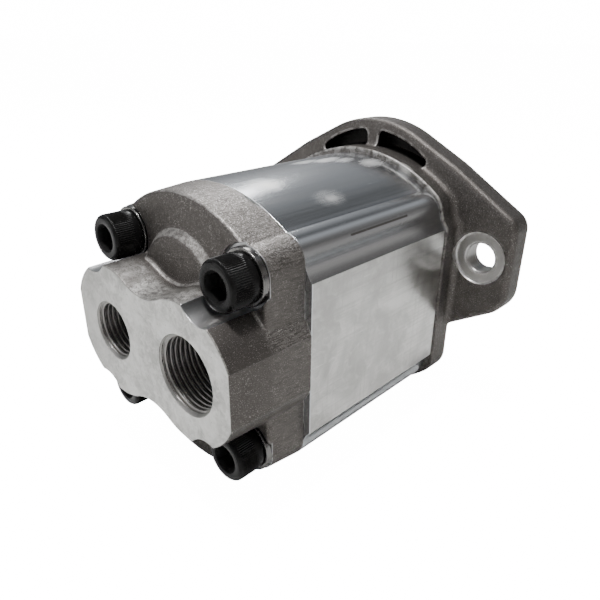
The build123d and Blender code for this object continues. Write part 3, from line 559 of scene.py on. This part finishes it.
def body_material():
    """Drawn aluminium with faint lines along its length, pale matt spots painted as highlights and milled
    flat sides.
    """
    material, tree, shader = start_material("drawn_aluminium")
    place = object_place(tree)
    x, y, z = parts_of(tree, place)
    lines = use(tree, "lines", Across=1700.0, Along=9.0)
    wear = use(tree, "wear", Width=0.0004, Break=1200.0)["Mask"]
    cloud = noise(tree, place, 55.0, 5.0, 0.62, 0.6)
    ragged = noise(tree, place, 240.0, 4.0, 0.6, 0.8)
    cross = noise(tree, scaled(tree, place, (1.0, 900.0, 30.0)), 1.0, 2.0, 0.6)
    panel = fade_over(tree, maths(tree, "ABSOLUTE", x), PANEL_FACE - 0.06, PANEL_FACE - 0.02)
    # Painted highlights: pale matt spots stand in for lamp reflections on the round top.
    spots = ((11.0, -78.6, 2.6, 3.4, 1.0), (10.0, -79.5, 4.6, 6.4, 0.4), (24.5, -63.2, 1.8, 3.0, 0.55),
             (24.0, -63.8, 3.0, 5.6, 0.3), (-3.6, -46.2, 2.4, 6.0, 0.55), (-0.4, -38.0, 2.6, 6.5, 0.65),
             (4.0, -32.5, 2.4, 4.4, 0.45), (11.2, -24.4, 3.4, 5.4, 0.6))
    matt_highlight_spots = both(tree, soft_spots(tree, x, y, ragged, spots), fade_over(tree, z, 12.0, 22.0))

    round_skin = body_round_skin(tree, lines, matt_highlight_spots, x, y, z)
    colour = blend(tree, panel, round_skin, body_panel_skin(tree, lines, cloud, ragged, cross, z))
    colour = blend(tree, maths(tree, "MULTIPLY", lines["Scratches"], 0.7), colour, shade(0.92, 0.92, 0.92))
    colour = blend(tree, wear, colour, shade(0.93, 0.93, 0.93))
    rough_round = fade_between(tree, lines["Lines"], 0.3, 0.7, 0.2, 0.26)
    rough_round = maths(tree, "MULTIPLY_ADD", matt_highlight_spots, 0.25, rough_round)
    rough_flat = fade_between(tree, cloud, 0.3, 0.7, 0.2, 0.27)
    roughness = mix(tree, panel, rough_round, rough_flat)
    metallic = maths(tree, "MULTIPLY_ADD", matt_highlight_spots, -0.62, 1.0)
    height = maths(tree, "MULTIPLY_ADD", both(tree, cross, panel), 1.2, lines["Lines"])
    finish_material(tree, shader, colour, roughness, metallic, height, 0.003, 0.3)
    return material


def flange_pocket(tree, x, y, z):
    """Mask of the two pockets: within their outer arc and sides, in front of their mouths and above
    the body."""
    arc_radius, half_width, mouth, base = 42.5, 28.5, -9.5, 26.0
    around = both(tree, inside(tree, reach_from(tree, x, z, 0.0, 0.0), arc_radius),
                  inside(tree, maths(tree, "ABSOLUTE", x), half_width))
    deep = both(tree, fade_over(tree, y, mouth, mouth + 1.0), fade_over(tree, z, base, base + 2.0))
    return both(tree, around, deep)


def flange_cast_skin(tree, place, grain, wear, pocket_shade, x, y, z):
    """Cast skin of the flange: painted shade in the pockets, worn upper edges painted brighter as wear and
    painted highlight, and a painted highlight on the lip by the body.
    """
    rubbed = noise(tree, place, 260.0, 4.0, 0.65, 0.5)
    # Painted highlight: a bright band broken by noise, and one spot, on the upper base lip by the body.
    lip = both(tree, fade_over(tree, y, -16.4, -17.2), fade_between(tree, rubbed, 0.4, 0.66, 0.0, 0.3))
    lip = either(tree, lip, soft_spots(tree, x, y, rubbed, ((22.0, -16.8, 2.6, 1.2, 1.0),)))
    lip = both(tree, lip, fade_over(tree, z, 0.0, 20.0))
    # Edge wear and painted highlight: worn edges are painted brighter the higher they sit.
    wear_and_top_highlight = both(tree, both(tree, wear, apart_from(tree, pocket_shade)), fade_over(tree, z, -10.0, 30.0, 0.08, 1.0))
    wear_and_top_highlight = both(tree, wear_and_top_highlight, fade_between(tree, rubbed, 0.42, 0.54, 0.15, 1.0))
    skin = blend(tree, grain["Tone"], shade(0.072, 0.065, 0.06), shade(0.135, 0.124, 0.116))
    skin = blend(tree, grain["Glints"], skin, shade(0.27, 0.258, 0.246))
    # Painted shade: the pockets are painted near black.
    skin = blend(tree, pocket_shade, skin, shade(0.016, 0.015, 0.014))
    skin = blend(tree, lip, skin, shade(0.6, 0.59, 0.57))
    return blend(tree, wear_and_top_highlight, skin, shade(0.6, 0.585, 0.565))


def flange_material():
    """Dark cast flange with worn edges partly painted as highlight, pockets in painted shade, and machined
    spot faces and front.
    """
    material, tree, shader = start_material("cast_flange")
    place = object_place(tree)
    x, y, z = parts_of(tree, place)
    grain = use(tree, "grain", Grains=1700.0, Patches=110.0)
    wear = use(tree, "wear", Width=0.0026, Break=520.0)["Mask"]
    from_ear = reach_from(tree, maths(tree, "ABSOLUTE", x), z, EAR_PITCH, 0.0)
    spot_face = both(tree, inside(tree, from_ear, SPOT_FACE_RADIUS + MASK_EDGE), inside(tree, y, -0.35))
    machined = either(tree, spot_face, fade_over(tree, y, -0.08, -0.02))

    cast = flange_cast_skin(tree, place, grain, wear, flange_pocket(tree, x, y, z), x, y, z)
    smooth = blend(tree, grain["Tone"], shade(0.28, 0.272, 0.264), shade(0.42, 0.41, 0.4))
    smooth = blend(tree, wear, smooth, shade(0.85, 0.84, 0.83))
    colour = blend(tree, machined, cast, smooth)
    roughness = fade_between(tree, machined, 0.0, 1.0, 0.52, 0.34)
    height = both(tree, grain["Height"], apart_from(tree, machined, 0.1))
    finish_material(tree, shader, colour, roughness, 0.85, height, 0.1, 1.2)
    return material


def blackened_material():
    """Oil-blackened steel, slightly brown, lighter where it is rubbed and dull in the socket."""
    material, tree, shader = start_material("blackened_steel")
    x, _, z = parts_of(tree, object_place(tree))
    grain = use(tree, "grain", Grains=3600.0, Patches=400.0)
    wear = use(tree, "wear", Width=0.0003, Break=1500.0)["Mask"]
    socket = inside(tree, reach_from_screw(tree, x, z), 4.9)
    colour = blend(tree, grain["Tone"], shade(0.004, 0.004, 0.0043), shade(0.012, 0.0115, 0.011))
    colour = blend(tree, maths(tree, "MULTIPLY", wear, 0.25), colour, shade(0.12, 0.116, 0.11))
    roughness = fade_between(tree, grain["Tone"], 0.3, 0.7, 0.13, 0.24)
    roughness = either(tree, roughness, maths(tree, "MULTIPLY", socket, 0.8))
    shader.inputs["Specular IOR Level"].default_value = 0.13
    finish_material(tree, shader, colour, roughness, 0.05, grain["Height"], 0.01)
    return material


def washer_material():
    """Dark turned steel with rings round the screw."""
    material, tree, shader = start_material("dark_turned_steel")
    x, y, z = parts_of(tree, object_place(tree))
    grain = use(tree, "grain", Grains=3200.0, Patches=300.0)
    wear = use(tree, "wear", Width=0.0003, Break=1500.0)["Mask"]
    section = add(tree, "ShaderNodeCombineXYZ", {0: reach_from_screw(tree, x, z), 1: y}).outputs[0]
    rings = noise(tree, section, 2600.0, 2.0)
    colour = blend(tree, rings, shade(0.1, 0.097, 0.094), shade(0.3, 0.294, 0.285))
    dull = fade_between(tree, grain["Tone"], 0.4, 0.7, 0.0, 0.6)
    colour = blend(tree, dull, colour, shade(0.13, 0.127, 0.123))
    colour = blend(tree, maths(tree, "MULTIPLY", wear, 0.7), colour, shade(0.6, 0.59, 0.58))
    roughness = fade_between(tree, grain["Tone"], 0.3, 0.7, 0.18, 0.3)
    finish_material(tree, shader, colour, roughness, 1.0, rings, 0.012)
    return material


def cut_metal(name, dark, light, rough, across, along):
    """Machined metal between two colours, with this many marks a metre across Y and along it."""
    material, tree, shader = start_material(name)
    grain = use(tree, "grain", Grains=3200.0, Patches=260.0)
    wear = use(tree, "wear", Width=0.0003, Break=1500.0)["Mask"]
    marks = noise(tree, scaled(tree, object_place(tree), (across, along, across)), 1.0, 2.0, 0.6)
    rubbed = [min(1.0, part * 1.25) for part in light]
    colour = blend(tree, marks, shade(*dark), shade(*light))
    colour = blend(tree, maths(tree, "MULTIPLY", wear, 0.7), colour, shade(*rubbed))
    roughness = fade_between(tree, grain["Tone"], 0.3, 0.7, rough - 0.05, rough + 0.07)
    finish_material(tree, shader, colour, roughness, 1.0, marks, 0.003)
    return material


def soft_material(name, dark, light, rough, metallic=0.0):
    """Rubber, plastic or phosphated steel between two close colours, with a fine grain."""
    material, tree, shader = start_material(name)
    grain = use(tree, "grain", Grains=2600.0, Patches=300.0)
    colour = blend(tree, grain["Tone"], shade(*dark), shade(*light))
    roughness = fade_between(tree, grain["Tone"], 0.3, 0.7, rough - 0.06, rough + 0.06)
    finish_material(tree, shader, colour, roughness, metallic, grain["Height"], 0.02)
    return material


def floor_material():
    """Pale paper, kept light where the camera sees it."""
    material = bpy.data.materials.new("floor_paper")
    material.use_nodes = True
    tree = material.node_tree
    tree.nodes.clear()
    cloud = noise(tree, object_place(tree), 30.0, 3.0)
    colour = blend(tree, cloud, shade(0.78, 0.78, 0.77), shade(0.82, 0.82, 0.81))
    paper = add(tree, "ShaderNodeBsdfDiffuse", {"Color": colour}).outputs[0]
    glow = add(tree, "ShaderNodeEmission", {"Color": shade(1, 1, 1), "Strength": 15.4}).outputs[0]
    seen = add(tree, "ShaderNodeLightPath").outputs["Is Camera Ray"]
    lit = add(tree, "ShaderNodeAddShader", {0: paper, 1: glow}).outputs[0]
    mixed = add(tree, "ShaderNodeMixShader", {0: seen, 1: paper, 2: lit}).outputs[0]
    add(tree, "ShaderNodeOutputMaterial", {"Surface": mixed})
    return material


def dress(piece, material):
    """Give the piece this one material."""
    piece.data.materials.clear()
    piece.data.materials.append(material)


def floor():
    """Large flat disc under the pump: rings of growing distance at one height."""
    gap, count = 0.05, 64
    low = min(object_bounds()[0][2], cad_box[0][2]) / MM
    angle = np.arange(count) * (2 * pi / count)
    reach = np.array([0.01, 200.0, 600.0, 2000.0, 8000.0, 40000.0])[:, None]
    x = reach * np.cos(angle)
    y = reach * np.sin(angle)
    points = np.stack([x, y, np.full_like(x, low - gap)], axis=-1).reshape(-1, 3)
    ground = mesh_piece("floor", points, grid_faces(len(reach), count, False))
    ground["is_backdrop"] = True
    return ground


def place_camera():
    """Camera at the photograph's viewing angle and distance."""
    data = bpy.data.cameras.new("camera")
    data.sensor_fit = "HORIZONTAL"
    data.sensor_width = 36.0
    data.lens = CAMERA_LENS
    data.clip_start = 0.01
    camera = bpy.data.objects.new("camera", data)
    camera.location = CAMERA_PLACE
    camera.rotation_euler = CAMERA_TURN
    bpy.context.scene.collection.objects.link(camera)
    bpy.context.scene.camera = camera


def area_light(name, place, target, size, power):
    """Rectangular soft light that faces its target."""
    data = bpy.data.lights.new(name, "AREA")
    data.shape = "RECTANGLE"
    data.size, data.size_y = size
    data.energy = power
    light = bpy.data.objects.new(name, data)
    light.location = place
    light.rotation_euler = Vector(np.subtract(target, place)).to_track_quat("-Z", "Y").to_euler()
    bpy.context.scene.collection.objects.link(light)


def surround():
    """Studio walls: bands that run along Y, lighter or darker by the angle from straight up toward +X,
    dark near the floor, white to the camera."""
    world = bpy.data.worlds.new("surround")
    world.use_nodes = True
    bpy.context.scene.world = world
    tree = world.node_tree
    tree.nodes.clear()
    heading = parts_of(tree, add(tree, "ShaderNodeTexCoord").outputs["Generated"])
    turn = maths(tree, "ARCTAN2", heading[0], heading[2])
    bands = (
        # angle in degrees, brightness
        (-100, 0.22), (-76, 0.28), (-56, 0.34), (-45, 0.37), (-33, 0.31), (-22, 0.29), (-11, 0.08),
        (-2, 0.03), (4, 0.42), (12, 0.6), (20, 0.42), (30, 0.22), (40, 0.11), (50, 0.18), (60, 0.3),
        (70, 0.42), (80, 0.4), (88, 0.1), (96, 0.03),
    )
    ramp = add(tree, "ShaderNodeValToRGB", {0: maths(tree, "MULTIPLY_ADD", turn, 0.5 / pi, 0.5)})
    stops = ramp.color_ramp.elements
    for angle, level in bands:
        stop = stops.new(angle / 360 + 0.5)
        stop.color = (level, level, level, 1)
    stops.remove(stops[-1])
    stops.remove(stops[0])
    warm = fade_between(tree, turn, radians(10), radians(45))
    tint = blend(tree, warm, shade(0.96, 1.0, 1.05), shade(1.04, 1.0, 0.965))
    tinted = {0: 1.0, 6: ramp.outputs[0], 7: tint}
    walls = add(tree, "ShaderNodeMix", tinted, data_type="RGBA", blend_type="MULTIPLY").outputs[2]
    walls = blend(tree, fade_between(tree, heading[2], 0.12, 0.0), walls, shade(0.13, 0.13, 0.13))
    seen = add(tree, "ShaderNodeLightPath").outputs["Is Camera Ray"]
    colour = blend(tree, seen, walls, shade(1, 1, 1))
    strength = fade_between(tree, seen, 0.0, 1.0, 1.0, 16.0)
    back = add(tree, "ShaderNodeBackground", {"Color": colour, "Strength": strength}).outputs[0]
    add(tree, "ShaderNodeOutputWorld", {"Surface": back})


def lights():
    """A small light above for clear shadows, a wide one, and weak ones from the back left and the front."""
    middle = (0, -0.06, 0)
    area_light("overhead", (0.05, -0.25, 1.0), middle, (0.1, 0.09), 11)
    area_light("wide_overhead", (-0.32, 0.1, 1.0), middle, (0.6, 0.6), 3.5)
    area_light("left_back", (-0.7, 0.55, 0.8), middle, (0.3, 0.3), 4)
    area_light("front_low", (-0.5, -0.9, 0.25), (0, -0.1, 0), (0.6, 0.4), 2)


place_camera()
surround()
lights()
dress(floor(), floor_material())
groups = {"grain": make_grain(), "lines": make_drawn_lines(), "wear": make_edge_wear()}

black = blackened_material()
dark_steel = washer_material()
ground_steel = cut_metal("ground_steel", (0.42, 0.42, 0.425), (0.6, 0.6, 0.6), 0.24, 60.0, 2600.0)
cut_aluminium = cut_metal("cut_aluminium", (0.26, 0.25, 0.24), (0.4, 0.39, 0.375), 0.4, 400.0, 2600.0)
block_alloy = cut_metal("block_alloy", (0.5, 0.5, 0.5), (0.66, 0.66, 0.655), 0.32, 900.0, 900.0)
bronze = cut_metal("bush_bronze", (0.36, 0.24, 0.12), (0.5, 0.35, 0.19), 0.34, 60.0, 2600.0)
rubber = soft_material("seal_rubber", (0.012, 0.012, 0.012), (0.024, 0.023, 0.023), 0.5)
plastic = soft_material("backup_plastic", (0.62, 0.58, 0.48), (0.72, 0.69, 0.6), 0.45)
spring_steel = soft_material("phosphated_steel", (0.035, 0.034, 0.033), (0.07, 0.068, 0.066), 0.42, 0.8)

dress(nodes["rear_cover"], cover_material())
dress(nodes["pump_body"], body_material())
dress(nodes["mounting_flange"], flange_material())
dress(nodes["retaining_ring"], spring_steel)
for name in ("drive_gear_shaft", "driven_gear_shaft", "shaft_key", "seal_spring"):
    dress(nodes[name], ground_steel)
for name in ("shaft_seal_case", "shaft_seal_lip"):
    dress(nodes[name], rubber)
for end in ("front", "rear"):
    dress(nodes[f"dowel_pins_{end}"], ground_steel)
    dress(nodes[f"bearing_block_{end}"], block_alloy)
    dress(nodes[f"bush_drive_{end}"], bronze)
    dress(nodes[f"bush_driven_{end}"], bronze)
    dress(nodes[f"backup_rings_{end}"], plastic)
    dress(nodes[f"balance_seal_{end}"], rubber)
    dress(nodes[f"body_seal_{end}"], rubber)
for side_x, left_right in ((1, "right"), (-1, "left")):
    for side_z, up_down in ((1, "upper"), (-1, "lower")):
        centre = (side_x * SCREW_PITCH, MIDDLE + side_z * SCREW_PITCH)
        piece = cap_screw(f"knurled_screw_{up_down}_{left_right}", centre)
        dress(piece, black)
        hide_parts(f"cap_screw_{up_down}_{left_right}")
        piece = washer(f"round_washer_{up_down}_{left_right}", centre)
        dress(piece, dark_steel)
        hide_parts(f"washer_{up_down}_{left_right}")
dress(thread("inlet_thread", (PORT_PITCH, MIDDLE), INLET_RADIUS, 16.8), cut_aluminium)
dress(thread("outlet_thread", (-PORT_PITCH, MIDDLE), OUTLET_RADIUS, 14.8), cut_aluminium)

bpy.context.view_layer.update()
